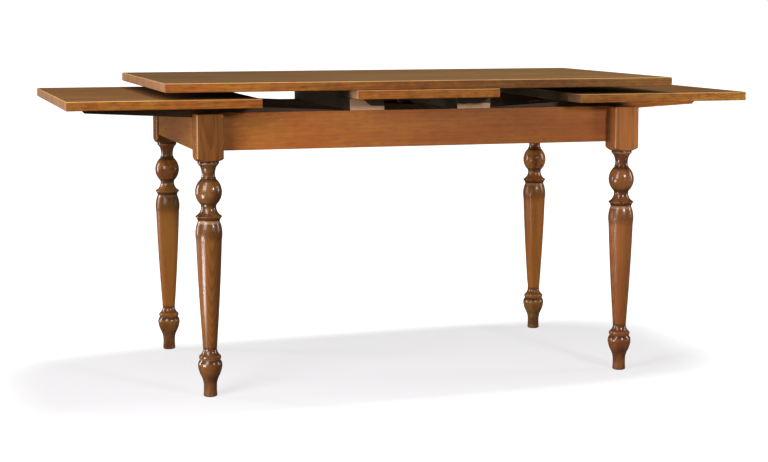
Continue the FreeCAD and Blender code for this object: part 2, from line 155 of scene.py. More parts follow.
def toned(colour, tone):
    """A colour made lighter or darker by a number, or by one number for each of red, green and blue."""
    tones = tone if isinstance(tone, tuple) else (tone, tone, tone)
    return tuple(part * share for part, share in zip(colour, tones)) + (1.0,)


# Stained wood. The rings of the tree run along one axis of the piece, round a heart that lies
# outside it, so faces show long stripes or arches and the ends show curved end grain.

GRAIN_WAYS = {"x": (0, 1, 2), "y": (1, 0, 2), "z": (2, 0, 1)}

# The middle of any noise
MIDDLE = 0.5

# Each mark of the wood: how often it comes in a metre along the grain and across it, how many
# finer layers it has, and how strong those are
RIPPLE = (14.0, 90.0, 2.0, 0.5)
FIBRE = (10.0, 260.0, 5.0, 0.65)
STREAK = (2.2, 75.0, 3.0, 0.6)
PORES = (42.0, 1100.0, 1.0, 0.5)
CLOUD = (2.0, 9.0, 3.0, 0.5)
BLUSH = (4.5, 16.0, 3.0, 0.5)
PATCHES = (13.0, 16.0, 3.0, 0.5)
MOTTLE = (34.0, 70.0, 4.0, 0.7)
BLOTCHES = (26.0, 26.0, 2.0, 0.5)

# Each kind of stained piece: how its rings sway and drift, how wide they are and how much they show,
# whether stain gathers in its hollows, deepened there by painted shade, how its lacquer shines, and how
# strong its other marks are
TURNED = {
    "sway": (2.6, 6.0, 2.0, 0.5), "drift": 0.014, "ring_width": 0.0022, "figure": 0.5, "pooled_and_shaded": True,
    "rough": 0.24, "shine": 0.35, "coat": 0.45,
    "blush": 0.5, "patches": 0.0, "pores": 0.25, "relief": 0.012, "mottle": 0.2,
}
RAIL = {
    "sway": (1.2, 6.0, 2.0, 0.5), "drift": 0.03, "ring_width": 0.0035, "figure": 0.14, "pooled_and_shaded": False,
    "rough": 0.42, "shine": 0.3, "coat": 0.0,
    "blush": 0.8, "patches": 0.0, "pores": 0.5, "relief": 0.2, "mottle": 1.1,
}
BOARD = {
    "sway": (1.0, 6.0, 2.0, 0.5), "drift": 0.04, "ring_width": 0.0045, "figure": 0.35, "pooled_and_shaded": False,
    "rough": 0.62, "shine": 0.15, "coat": 0.0,
    "blush": 0.8, "patches": 0.7, "pores": 0.5, "relief": 0.2, "mottle": 2.2,
}
RUNNER = dict(RAIL, mottle=0.3, blush=0.4)

# The dark band of a year ring, as shares of the ring, and how far a ripple moves it
LATE_STARTS = (0.25, 0.85)
LATE_ENDS = (0.88, 1.0)
RIPPLE_SHARE = 0.4

# How deep the stain is, from 0 at its pale colour to 1 at its dark one, and how much marks add to it
STAIN_DEPTH = 0.25
FIBRE_DEPTH = 0.9
STREAK_DEPTH = 0.8
CLOUD_DEPTH = 0.8

# How much marks and the softer gloss of a shaft roughen the lacquer, and how rough its coat is
FIBRE_ROUGH = 0.10
PORE_ROUGH = 0.12
CLOUD_ROUGH = 0.06
SOFT_ROUGH = 0.12
COAT_ROUGH = 0.14

# How far marks stand up or sink in, as shares of the depth of the relief in metres
FIBRE_HEIGHT = 0.35
LATE_HEIGHT = 0.25
PORE_HEIGHT = 0.6
RELIEF_DEPTH = 0.0005

# Where in their noise pores begin and the cast of the stain turns, and how dark the deepest stain is
PORE_EDGE = (0.60, 0.72)
CAST_EDGE = (0.36, 0.64)
DEEPEST_SHARE = 0.35

# Hollows where stain gathers and painted shade lies: how far round a spot is looked at, and how open it is
# there
POOL_AND_SHADE_REACH = 0.03
POOL_AND_SHADE_SAMPLES = 8
POOL_AND_SHADE_OPEN = (0.58, 1.0)

# Stains
LEG_PALE = (0.43, 0.152, 0.032, 1.0)
LEG_DARK = (0.23, 0.077, 0.015, 1.0)
# Stain in a leg's hollows, deepened as painted shade
LEG_HOLLOW = (0.065, 0.022, 0.006, 1.0)
RAIL_PALE = (0.44, 0.140, 0.028, 1.0)
RAIL_DARK = (0.24, 0.070, 0.013, 1.0)
EDGE_PALE = (0.42, 0.140, 0.025, 1.0)
EDGE_DARK = (0.18, 0.064, 0.015, 1.0)
# Flat faces: greyer than the edges, partly their own stain and partly a painted grey sheen
FLAT_PALE = (0.295, 0.137, 0.045, 1.0)
FLAT_DARK = (0.162, 0.075, 0.023, 1.0)
# End grain, made paler as a painted sheen of the lamps
END_SHEEN_PALE = (0.52, 0.28, 0.15, 1.0)
END_SHEEN_DARK = (0.36, 0.17, 0.08, 1.0)
# Runners and pegs: their stain painted near black, as painted shade under the boards
RUNNER_SHADE_PALE = (0.090, 0.050, 0.028, 1.0)
RUNNER_SHADE_DARK = (0.050, 0.029, 0.017, 1.0)
TIP_PALE = toned(RAIL_PALE, 1.1)
TIP_DARK = toned(RAIL_DARK, 1.2)
# Painted highlights: on a board's upper arris, and on a leg's arrises and sharp rings
BOARD_ARRIS_HIGHLIGHT = (0.72, 0.42, 0.17, 1.0)
LEG_HIGHLIGHT = (0.56, 0.32, 0.17, 1.0)
# Painted shade: laid on faces inside the frame, on undersides, on hidden ends and in corners
PAINTED_SHADE = (0.075, 0.054, 0.031, 1.0)

# Casts, which a stain is multiplied by
RUDDY_CAST = (0.96, 0.80, 0.74, 1.0)
GOLDEN_CAST = (1.06, 1.12, 0.94, 1.0)
BLOTCH_PALE = (1.22, 1.32, 1.10, 1.0)
BLOTCH_DARK = (0.74, 0.64, 0.66, 1.0)
TOP_LEFT_CAST = (0.80, 0.90, 1.12, 1.0)
TOP_RIGHT_CAST = (1.16, 1.32, 1.50, 1.0)


def grain_place(finish, along, shift):
    """The point on the piece as lengths along the grain and across it."""
    spot = finish.place()
    return [spot[axis] + step for axis, step in zip(GRAIN_WAYS[along], shift)]


def grain_noise(finish, place, mark):
    """Noise drawn out along the grain."""
    run, side, rise = place
    along, across, detail, roughness = mark
    return finish.noise(finish.point(run * along, side * across, rise * across), detail, roughness)


def late_wood(finish, place, heart, shift, look):
    """1 in the dark band of a year ring, and 0 in the pale one."""
    off_side = place[1] - (shift[1] + heart[0])
    off_rise = place[2] - (shift[2] + heart[1])
    reach = (off_side * off_side + off_rise * off_rise) ** 0.5
    sway = (grain_noise(finish, place, look["sway"]) - MIDDLE) * look["drift"]
    ripple = (grain_noise(finish, place, RIPPLE) - MIDDLE) * look["ring_width"] * RIPPLE_SHARE
    ring = ((reach + sway + ripple) / look["ring_width"]) % 1.0
    return ring.between(*LATE_STARTS) * (1.0 - ring.between(*LATE_ENDS))


def recast(finish, colour, place, mark, amount):
    """Makes the stain golden in some places and ruddy in others."""
    turn = grain_noise(finish, place, mark).between(*CAST_EDGE)
    return finish.blend(amount, colour, finish.blend(turn, GOLDEN_CAST, RUDDY_CAST), "MULTIPLY")


def stain_and_shade_in_hollows(finish):
    """1 deep in a hollow of the turning, and 0 where nothing stands close by: where stain gathers, deepened
    by painted shade.
    """
    settings = {"only_local": True, "samples": POOL_AND_SHADE_SAMPLES}
    open_share = finish.node("ShaderNodeAmbientOcclusion", settings, {"Distance": POOL_AND_SHADE_REACH}, out="AO")
    return 1.0 - open_share.between(*POOL_AND_SHADE_OPEN)


def stained_wood(name, along, heart, shift, stains, look, touches=()):
    """Stained, lacquered wood. Each touch in turn may change the colour, given the depth of the stain."""
    pale, dark = stains
    material = bpy.data.materials.new(name)
    finish = Finish(material)
    place = grain_place(finish, along, shift)
    late = late_wood(finish, place, heart, shift, look)
    fibre = grain_noise(finish, place, FIBRE)
    streak = grain_noise(finish, place, STREAK)
    cloud = grain_noise(finish, place, CLOUD)
    mottle = grain_noise(finish, place, MOTTLE)
    pore = grain_noise(finish, place, PORES).between(*PORE_EDGE)
    depth = late * look["figure"] + (fibre - MIDDLE) * FIBRE_DEPTH + STAIN_DEPTH
    depth = depth + (streak - MIDDLE) * STREAK_DEPTH + (cloud - MIDDLE) * CLOUD_DEPTH
    colour = finish.blend(depth + (mottle - MIDDLE) * look["mottle"], pale, dark)
    if look["patches"]:
        colour = recast(finish, colour, place, PATCHES, look["patches"])
    for touch in touches:
        colour = touch(finish, colour, depth)
    colour = recast(finish, colour, place, BLUSH, look["blush"])
    deepest = toned(dark, DEEPEST_SHARE)
    colour = finish.blend(pore * look["pores"], colour, deepest)
    # Hollows darken where stain gathers and as painted shade
    if look["pooled_and_shaded"]:
        colour = finish.blend(stain_and_shade_in_hollows(finish), colour, deepest)
    rough = look["rough"] + (fibre - MIDDLE) * FIBRE_ROUGH + pore * PORE_ROUGH
    rough = rough + (cloud - MIDDLE) * CLOUD_ROUGH
    coat = look["coat"]
    if coat:
        softer = on_shaft(finish) * look["soft_shaft"]
        rough = rough + softer * SOFT_ROUGH
        coat = coat * (1.0 - softer)
    height = fibre * FIBRE_HEIGHT + late * LATE_HEIGHT - pore * PORE_HEIGHT
    finish.surface({
        "Base Color": colour,
        "Roughness": rough,
        "Specular IOR Level": look["shine"],
        "Coat Weight": coat,
        "Coat Roughness": COAT_ROUGH,
        "Normal": finish.bump(height, look["relief"], RELIEF_DEPTH),
    })
    return material


# Touches: faces of a piece that took the stain differently, or carry a painted highlight or painted shade

# How far a face looks along an axis where a touch begins, and where it is full
SQUARELY = (0.6, 0.9)
FLATLY = (0.85, 0.98)

# Places along the table, from its middle: where the colour darkens to the right, the ends of the top,
# and where the stained tip of a runner begins
DARKENS = (-0.55, 0.35)
TOP_ENDS = (-0.7, 0.7)
TIP_STARTS = (0.60, 0.65)


def painted_shade_inside(axis, sense):
    """The faces that look into the frame are painted dark as shade."""
    def touch(finish, colour, depth):
        inward = finish.facing()[axis] * sense
        return finish.blend(inward.between(*SQUARELY), colour, PAINTED_SHADE)
    return touch


def darker_to_the_right(amount, tone):
    """The colour grows darker from the left end of the table to the right."""
    def touch(finish, colour, depth):
        along = finish.place()[0]
        return finish.blend(along.between(*DARKENS) * amount, colour, toned(EDGE_DARK, tone))
    return touch


def top_cast(finish, colour, depth):
    """The upper face is ruddier at its left end and paler at its right end."""
    upper = finish.facing()[2].between(*FLATLY)
    cast = finish.blend(finish.place()[0].between(*TOP_ENDS), TOP_LEFT_CAST, TOP_RIGHT_CAST)
    return finish.blend(upper, colour, cast, "MULTIPLY")


def stained_tip(finish, colour, depth):
    """The runner's outer end, which shows when the leaf is drawn, has the stain of the rails; the rest of
    the runner is painted dark as shade.
    """
    tip = abs(finish.place()[0]).between(*TIP_STARTS)
    return finish.blend(tip, colour, finish.blend(depth, TIP_PALE, TIP_DARK))


# A board's upper arris, from where it starts to look up to where the flat begins, how strong its painted
# highlight is, and how softly a hidden end begins to show, as a share of the stretch that shows
ARRIS_HIGHLIGHT_STARTS = (0.25, 0.5)
ARRIS_HIGHLIGHT_ENDS = (0.86, 0.98)
ARRIS_HIGHLIGHT_SHARE = 0.75
SHOW_FADE = 0.3


def board_faces(half_depth, hidden_ends, show, end_sheen_tone):
    """A board's flat faces are darker and greyer, partly their own stain and partly a painted grey sheen,
    and its ends are paler with a painted sheen.

    Its upper arris carries a painted highlight and its underside painted shade. Ends that stay under the
    table are painted dark as shade but for a stretch at the front and back, which show gives.
    """
    shows_from = half_depth - show * (1.0 + SHOW_FADE)
    shows_fully = half_depth - show * (1.0 - SHOW_FADE)

    def touch(finish, colour, depth):
        right, _, up = finish.facing()
        flat = finish.blend(depth, FLAT_PALE, FLAT_DARK)
        open_end_sheen = finish.blend(depth, END_SHEEN_PALE, END_SHEEN_DARK)
        under_table_end_sheen = finish.blend(depth, toned(END_SHEEN_PALE, end_sheen_tone), toned(END_SHEEN_DARK, end_sheen_tone))
        shaded_end = finish.blend(abs(finish.place()[1]).between(shows_from, shows_fully), PAINTED_SHADE, under_table_end_sheen)
        left_end = shaded_end if "left" in hidden_ends else open_end_sheen
        right_end = shaded_end if "right" in hidden_ends else open_end_sheen
        # Flat faces: partly their own stain, partly a painted grey sheen
        colour = finish.blend(abs(up).between(*FLATLY), colour, flat)
        # End faces: a painted sheen, with painted shade where they stay under the table
        colour = finish.blend((-right).between(*SQUARELY), colour, left_end)
        colour = finish.blend(right.between(*SQUARELY), colour, right_end)
        # Painted shade on the underside
        colour = finish.blend((-up).between(*FLATLY), colour, PAINTED_SHADE)
        # Painted highlight along the upper arris
        arris_highlight = up.between(*ARRIS_HIGHLIGHT_STARTS) * (1.0 - up.between(*ARRIS_HIGHLIGHT_ENDS))
        return finish.blend(arris_highlight * ARRIS_HIGHLIGHT_SHARE, colour, BOARD_ARRIS_HIGHLIGHT)
    return touch


# Heights over which one part of a leg gives way to the next
FOOT_FADES = (0.03, 0.14)
SHAFT_STARTS = (0.12, 0.16)
SHAFT_ENDS = (0.44, 0.46)
HEAD_STARTS = (0.462, 0.467)
SQUARE_STARTS = (0.611, 0.616)

# The leg's square: how often the bands on its front come in a metre, their finer layers and depth,
# the plainer stain of its outer side, and the facing where that side begins
BAND_ACROSS = 95.0
BAND_ALONG = 4.0
BAND_DETAIL = 3.0
BAND_DEPTH = 1.8
SIDE_DEPTH = 0.4
OUTER_TURN = (0.35, 0.7)

# The square's painted highlight on its arrises, and the painted shade in its corner beside the apron, which
# fades away from the middle of the table and has a soft lower end
ARRIS_TURN = (0.3, 0.5)
LEG_ARRIS_HIGHLIGHT = 0.6
CORNER_FADES = (0.31, 0.34)
CORNER_BLUR = 0.004
CORNER_SHADE = 0.8

# The leg's head and foot: a plainer stain in blotches
ENDS_DEPTH = 0.5
BLOTCH_EDGE = (0.38, 0.62)

# Rings round a leg, dark ones where stain gathers in its hollows, deepened as painted shade, and pale
# painted highlights on its
# sharp edges: the heights where each starts and ends, how softly, and how strong it is
STAIN_AND_SHADE_RINGS = (
    (0.0905, 0.0965, 0.002, 0.75),
    (0.1120, 0.1280, 0.005, 0.55),
    (0.4300, 0.4540, 0.030, 0.45),
    (0.4620, 0.4665, 0.002, 0.70),
    (0.4990, 0.5070, 0.004, 0.60),
    (0.5660, 0.5735, 0.004, 0.70),
    (0.5800, 0.6000, 0.008, 0.35),
)
HIGHLIGHT_RINGS = (
    (0.4550, 0.4615, 0.0012, 0.60),
    (0.0970, 0.1005, 0.0012, 0.35),
    (0.6085, 0.6130, 0.0012, 0.25),
)


def on_shaft(finish):
    """1 on the tapered shaft of a leg, and 0 on its foot and above the shaft."""
    height = finish.place()[2]
    return height.between(*SHAFT_STARTS) * (1.0 - height.between(*SHAFT_ENDS))


def leg_square(outward, front_tone, side_tone):
    """The square's outer side has a tone of its own, plainer than its front's; on the left legs it is paler,
    partly its own stain and partly painted light from the lamps at the left.

    Its left arrises carry a painted highlight, and painted shade lies in the corner beside the apron.
    """
    apron_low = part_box("front_apron")[0][2]

    def touch(finish, colour, depth):
        right, back, _ = finish.facing()
        x, y, z = finish.place()
        bands = finish.point(x * BAND_ACROSS, y * BAND_ACROSS, z * BAND_ALONG)
        streaked = depth + (finish.noise(bands, BAND_DETAIL) - MIDDLE) * BAND_DEPTH
        front = finish.blend(streaked, toned(LEG_PALE, front_tone), toned(LEG_DARK, front_tone))
        side = finish.blend(depth * SIDE_DEPTH, toned(LEG_PALE, side_tone), toned(LEG_DARK, side_tone))
        # On the left legs the outer side is paler, partly painted light from the lamps at the left
        faces = finish.blend((right * outward).between(*OUTER_TURN), front, side)
        # Painted highlight on the left arrises
        arris = abs(back).between(*ARRIS_TURN) * (-right).between(*ARRIS_TURN)
        faces = finish.blend(arris * LEG_ARRIS_HIGHLIGHT, faces, LEG_HIGHLIGHT)
        # Painted shade in the corner beside the apron
        above = z.between(apron_low - CORNER_BLUR, apron_low + CORNER_BLUR)
        corner = (right * -outward).between(*SQUARELY) * above * (1.0 - abs(y).between(*CORNER_FADES))
        faces = finish.blend(corner * CORNER_SHADE, faces, PAINTED_SHADE)
        return finish.blend(z.between(*SQUARE_STARTS), colour, faces)
    return touch


def leg_ends(head_tone, foot_tone):
    """The ball with its necks, and the foot, took a browner and blotchier stain than the shaft."""
    def touch(finish, colour, depth):
        spot = finish.place()
        head = spot[2].between(*HEAD_STARTS)
        foot = 1.0 - spot[2].between(*FOOT_FADES)
        blotch = grain_noise(finish, spot, BLOTCHES).between(*BLOTCH_EDGE)
        cast = finish.blend(blotch, BLOTCH_PALE, BLOTCH_DARK)
        plainer = depth * ENDS_DEPTH + STAIN_DEPTH
        for share, tone in ((head, head_tone), (foot, foot_tone)):
            stain = finish.blend(plainer, toned(LEG_PALE, tone), toned(LEG_DARK, tone))
            colour = finish.blend(share, colour, finish.blend(1.0, stain, cast, "MULTIPLY"))
        return colour
    return touch


def leg_rings(finish, colour, depth):
    """Stain lies dark in the hollows of the turning, deepened as painted shade, and its sharp edges carry
    painted highlights.
    """
    height = finish.place()[2]
    for rings, tint in ((STAIN_AND_SHADE_RINGS, LEG_HOLLOW), (HIGHLIGHT_RINGS, LEG_HIGHLIGHT)):
        for low, high, soft, amount in rings:
            ring = height.between(low - soft, low) * (1.0 - height.between(high, high + soft))
            colour = finish.blend(ring * amount, colour, tint)
    return colour


# Sawn wood without stain: its marks, its colours, how strongly they part, its flecks, how rough and
# shiny it is, and its relief
SAWN_FIBRE = (16.0, 300.0, 4.0, 0.6)
SAWN_FLECK = (120.0, 700.0, 1.0, 0.5)
SAWN_CLOUD = (9.0, 24.0, 3.0, 0.5)
SAW_MARKS = (420.0, 12.0, 2.0, 0.5)
SAWN_PALE = shade(226, 184, 148)
SAWN_DARK = shade(182, 134, 98)
SAWN_FLECKED = shade(132, 92, 62)
SAWN_CONTRAST = 1.2
SAWN_PALENESS = 0.2
FLECK_EDGE = (0.6, 0.72)
FLECK_SHARE = 0.5
SAWN_ROUGH = 0.68
SAWN_UNEVEN = 0.2
SAWN_SHINE = 0.25
SAWN_FIBRE_HEIGHT = 0.6
SAW_HEIGHT = 0.5
SAWN_RELIEF = 0.35
SAWN_RELIEF_DEPTH = 0.0008

# A painted shadow of the bridge board on a bearer's ends: where its height changes from one side's to the
# other's, how ragged its edge is, and how soft
BRIDGE_SHADOW_CHANGES = (0.30, 0.65)
BRIDGE_SHADOW_RAGGED = 0.25
BRIDGE_SHADOW_EDGE = (-0.05, 0.05)


def bare_wood(name, along, shift, cover=None):
    """Sawn wood without stain. Cover may paint shade and a shadow over some of it."""
    material = bpy.data.materials.new(name)
    finish = Finish(material)
    place = grain_place(finish, along, shift)
    fibre = grain_noise(finish, place, SAWN_FIBRE)
    fleck = grain_noise(finish, place, SAWN_FLECK)
    cloud = grain_noise(finish, place, SAWN_CLOUD)
    saw = grain_noise(finish, place, SAW_MARKS)
    depth = fibre * SAWN_CONTRAST - SAWN_PALENESS + (cloud - MIDDLE)
    colour = finish.blend(depth, SAWN_PALE, SAWN_DARK)
    colour = finish.blend(fleck.between(*FLECK_EDGE) * FLECK_SHARE, colour, SAWN_FLECKED)
    if cover:
        colour = cover(finish, colour, cloud)
    height = fibre * SAWN_FIBRE_HEIGHT + saw * SAW_HEIGHT
    finish.surface({
        "Base Color": colour,
        "Roughness": SAWN_ROUGH + (fibre - MIDDLE) * SAWN_UNEVEN,
        "Specular IOR Level": SAWN_SHINE,
        "Normal": finish.bump(height, SAWN_RELIEF, SAWN_RELIEF_DEPTH),
    })
    return material


def painted_bridge_shadow(node, left_share, right_share):
    """Sides painted dark as shade, and a painted shadow of the bridge board over the upper part of the sawn
    ends.

    The shares are the height that is left out of the painted shadow at the left and right side of an end.
    """
    low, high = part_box(node)

    def cover(finish, colour, cloud):
        x, _, z = finish.place()
        across = (x - low[0]) / (high[0] - low[0])
        risen = (z - low[2]) / (high[2] - low[2])
        # bare is the height the painted shadow of the bridge board leaves out, stained marks that shadow on
        # the end, and the sides get painted shade
        bare = left_share + across.between(*BRIDGE_SHADOW_CHANGES) * (right_share - left_share)
        bare = bare + (cloud - MIDDLE) * BRIDGE_SHADOW_RAGGED
        stained = (risen - bare).between(*BRIDGE_SHADOW_EDGE)
        end = abs(finish.facing()[1]).between(*SQUARELY)
        return finish.blend(end * (1.0 - stained), PAINTED_SHADE, colour)
    return cover


# Zinc plate: its colours, how often its patches and scratches come in a metre and their finer layers,
# how rough it is, and the relief of the scratches
ZINC_PALE = shade(200, 198, 186)
ZINC_DARK = shade(158, 154, 140)
ZINC_PATCH = 180.0
ZINC_PATCH_DETAIL = 3.0
SCRATCH_LONG = 900.0
SCRATCH_THIN = 2500.0
SCRATCH_DETAIL = 2.0
ZINC_ROUGH = 0.28
ZINC_PATCH_ROUGH = 0.18
SCRATCH_ROUGH = 0.1
SCRATCH_RELIEF = 0.15
SCRATCH_DEPTH = 0.0002


def zinc(name):
    """Zinc plate, patchy and finely scratched."""
    material = bpy.data.materials.new(name)
    finish = Finish(material)
    x, y, z = finish.place()
    patch = finish.noise(finish.point(x * ZINC_PATCH, y * ZINC_PATCH, z * ZINC_PATCH), ZINC_PATCH_DETAIL)
    scratches = finish.point(x * SCRATCH_THIN, y * SCRATCH_LONG, z * SCRATCH_THIN)
    scratch = finish.noise(scratches, SCRATCH_DETAIL)
    finish.surface({
        "Base Color": finish.blend(patch, ZINC_PALE, ZINC_DARK),
        "Metallic": 1.0,
        "Roughness": ZINC_ROUGH + patch * ZINC_PATCH_ROUGH + (scratch - MIDDLE) * SCRATCH_ROUGH,
        "Normal": finish.bump(scratch, SCRATCH_RELIEF, SCRATCH_DEPTH),
    })
    return material


# Which finish each piece has

# Each leg: where the heart of its tree lies from the leg's middle, which way its outer side looks, how soft
# the gloss of its shaft is, and the tones in red, green and blue of its parts and of its square's faces;
# the back legs' tones are raised as painted light, to brighten them in the shade they stand in
LEGS = {
    "leg_front_left": {
        "lean": (-0.006, 0.085), "outward": -1.0, "soft": 0.55,
        "shaft": (0.58, 0.58, 0.60), "head": (0.50, 0.52, 0.81), "foot": (0.52, 0.58, 1.04),
        "front": (0.54, 0.54, 0.66), "side": (1.25, 1.25, 1.10),
    },
    "leg_front_right": {
        "lean": (0.11, 0.02), "outward": 1.0, "soft": 0.85,
        "shaft": (1.04, 1.00, 1.35), "head": (0.63, 0.63, 1.10), "foot": (0.81, 0.82, 1.73),
        "front": (1.04, 1.08, 1.55), "side": (1.10, 1.10, 1.10),
    },
    "leg_back_left": {
        "lean": (-0.11, -0.03), "outward": -1.0, "soft": 0.85,
        "shaft": (1.45, 1.55, 1.45), "head": (1.58, 1.77, 2.60), "foot": (0.74, 0.82, 1.81),
        "front": (1.00, 1.00, 1.00), "side": (1.35, 1.35, 1.35),
    },
    "leg_back_right": {
        "lean": (-0.10, 0.03), "outward": 1.0, "soft": 0.7,
        "shaft": (1.60, 1.60, 1.50), "head": (1.70, 1.80, 2.30), "foot": (0.82, 1.09, 2.00),
        "front": (1.30, 1.30, 1.30), "side": (1.10, 1.10, 1.10),
    },
}

# Each board: the heart of its tree, the tone of its edges, its ends that stay under the table under painted
# shade, how far in from the front and back those ends show, how pale their painted sheen is there, and the
# touches before and after
BOARDS = {
    "main_top": {
        "heart": (0.12, 0.45), "edges": (1.0, 1.0, 1.0), "hidden_ends": (), "show": 0.1, "ends": 1.0,
        "before": (darker_to_the_right(0.5, (0.30, 0.80, 1.70)),), "after": (top_cast,),
    },
    "left_leaf": {
        "heart": (0.02, 0.50), "edges": (0.93, 0.97, 0.88), "hidden_ends": ("right",), "show": 0.16,
        "ends": 0.5, "before": (), "after": (),
    },
    "right_leaf": {
        "heart": (-0.08, 0.55), "edges": (0.84, 1.03, 1.10), "hidden_ends": ("left",), "show": 0.16,
        "ends": 0.5, "before": (), "after": (),
    },
    "bridge_board": {
        "heart": (-0.18, 0.60), "edges": (1.04, 1.08, 1.2), "hidden_ends": ("left", "right"), "show": 0.07,
        "ends": 1.2, "before": (), "after": (),
    },
}

# Each rail: the way of its grain, the heart of its tree, the tone of its stain and its touches
RAILS = {
    "front_apron": {
        "along": "x", "heart": (0.30, 0.52), "tone": (1.20, 1.20, 1.15),
        "touches": (darker_to_the_right(0.28, 0.35), painted_shade_inside(1, 1.0)),
    },
    "back_apron": {
        "along": "x", "heart": (0.30, 0.52), "tone": (1.10, 1.10, 1.10), "touches": (painted_shade_inside(1, -1.0),),
    },
    "left_end_apron": {
        "along": "y", "heart": (0.42, 0.50), "tone": (1.20, 1.38, 1.0), "touches": (painted_shade_inside(0, 1.0),),
    },
    "right_end_apron": {
        "along": "y", "heart": (0.42, 0.50), "tone": (1.10, 1.15, 1.0), "touches": (painted_shade_inside(0, -1.0),),
    },
}

# The touches of each side's runners, and the share of each bearer's ends that is left out of the painted
# shadow at its left and right
RUNNER_TOUCHES = {"left": (), "right": (stained_tip,)}
BEARER_SHARES = {"bridge_bearer_left": (0.95, 0.35), "bridge_bearer_right": (0.42, 0.42)}

# Where in the tree pieces were cut: the first one's place along the grain and across it, and the step
# from each to the next, so that no two show the same grain
LEG_CUTS = ((0.0, 1.3, 0.4), (0.37, 0.21, 0.17))
BOARD_CUTS = ((0.0, 0.0, 0.0), (1.7, 0.3, 0.6))
RAIL_CUTS = ((0.0, 0.2, 0.6), (0.9, 0.0, 1.0))
RUNNER_CUTS = ((0.0, 0.5, 0.1), (0.8, 0.0, 1.0))
BEARER_CUT = (0.3, 0.1, 0.2)
BLOCK_CUT = (0.1, 0.3, 0.2)
PEG_CUT = (0.2, 0.1, 0.4)
RUNNER_HEART = (0.10, 0.50)
PEG_HEART = (0.1, 0.2)


def cut_place(cuts, count):
    """Where in the tree the piece of that count was cut."""
    first, step = cuts
    return tuple(start + more * count for start, more in zip(first, step))


def toned_pair(pale, dark, tone):
    return toned(pale, tone), toned(dark, tone)


def dress(names, material):
    """Gives nodes a material instead of the one that they came with."""
    for name in names:
        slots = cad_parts[name].data.materials
        slots.clear()
        slots.append(material)


def dress_legs():
    for count, (name, leg) in enumerate(LEGS.items()):
        low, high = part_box(name)
        heart = tuple((low[axis] + high[axis]) / 2 + leg["lean"][axis] for axis in (0, 1))
        shift = cut_place(LEG_CUTS, count)
        square = leg_square(leg["outward"], leg["front"], leg["side"])
        touches = (leg_ends(leg["head"], leg["foot"]), square, leg_rings)
        stains = toned_pair(LEG_PALE, LEG_DARK, leg["shaft"])
        look = dict(TURNED, soft_shaft=leg["soft"])
        dress([name], stained_wood("stained_" + name, "z", heart, shift, stains, look, touches))


def dress_boards():
    for count, (name, board) in enumerate(BOARDS.items()):
        _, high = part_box(name)
        shift = cut_place(BOARD_CUTS, count)
        faces = board_faces(high[1], board["hidden_ends"], board["show"], board["ends"])
        touches = (*board["before"], faces, *board["after"])
        stains = toned_pair(EDGE_PALE, EDGE_DARK, board["edges"])
        dress([name], stained_wood("stained_" + name, "x", board["heart"], shift, stains, BOARD, touches))


def dress_rails():
    for count, (name, rail) in enumerate(RAILS.items()):
        shift = cut_place(RAIL_CUTS, count)
        stains = toned_pair(RAIL_PALE, RAIL_DARK, rail["tone"])
        along, heart, touches = rail["along"], rail["heart"], rail["touches"]
        dress([name], stained_wood("stained_" + name, along, heart, shift, stains, RAIL, touches))


def dress_runners():
    for count, (side, touches) in enumerate(RUNNER_TOUCHES.items()):
        name = "stained_" + side + "_runners_painted_shade"
        shift = cut_place(RUNNER_CUTS, count)
        stains = (RUNNER_SHADE_PALE, RUNNER_SHADE_DARK)
        wood = stained_wood(name, "x", RUNNER_HEART, shift, stains, RUNNER, touches)
        dress([side + "_runner_front", side + "_runner_back"], wood)


def dress_bearers():
    for name, (left_share, right_share) in BEARER_SHARES.items():
        cover = painted_bridge_shadow(name, left_share, right_share)
        # The bearers carry a painted shadow of the bridge board and painted shade on their sides
        dress([name], bare_wood("stained_" + name, "y", BEARER_CUT, cover))


def dress_small_pieces():
    blocks = bare_wood("bare_blocks", "z", BLOCK_CUT)
    dress([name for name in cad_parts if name.startswith("corner_block")], blocks)
    # The pegs take the runners' painted shade
    pegs = stained_wood("stained_pegs_painted_shade", "z", PEG_HEART, PEG_CUT, (RUNNER_SHADE_PALE, RUNNER_SHADE_DARK), RAIL)
    dress([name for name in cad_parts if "peg" in name], pegs)
    dress([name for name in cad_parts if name.endswith("screws")], zinc("zinc_screws"))


# Studio: a white floor that keeps the soft shadow, deepened by a painted shadow under the table, a white
# surround, and soft lamps

BLACK = (0.0, 0.0, 0.0, 1.0)
WHITE = (1.0, 1.0, 1.0, 1.0)
SURROUND_DIM = (0.06, 0.06, 0.06, 1.0)
MIRRORED_SHARE = 0.03

FLOOR_HALF = 40.0
FLOOR_DIM = (0.08, 0.08, 0.08, 1.0)
FLOOR_PALE = (0.27, 0.265, 0.27, 1.0)
FLOOR_GLOW_IN_SHADOW = (0.70, 0.69, 0.70, 1.0)
FLOOR_GLOW_FAR = (1.2, 1.2, 1.2, 1.0)

# The floor carries a painted shadow, a greyer rounded patch under the table: its middle, half its length and
# depth, how far it slants, and where it fades, as shares of its half size
SHADOW_PATCH_MIDDLE = (-0.10, -0.07)
SHADOW_PATCH_HALF = (0.86, 0.40)
SHADOW_PATCH_SLANT = 0.07
SHADOW_PATCH_FADES = (1.0, 1.5)

FULL_SPREAD = 180.0
TABLE_MIDDLE = (0.0, 0.0, 0.6)

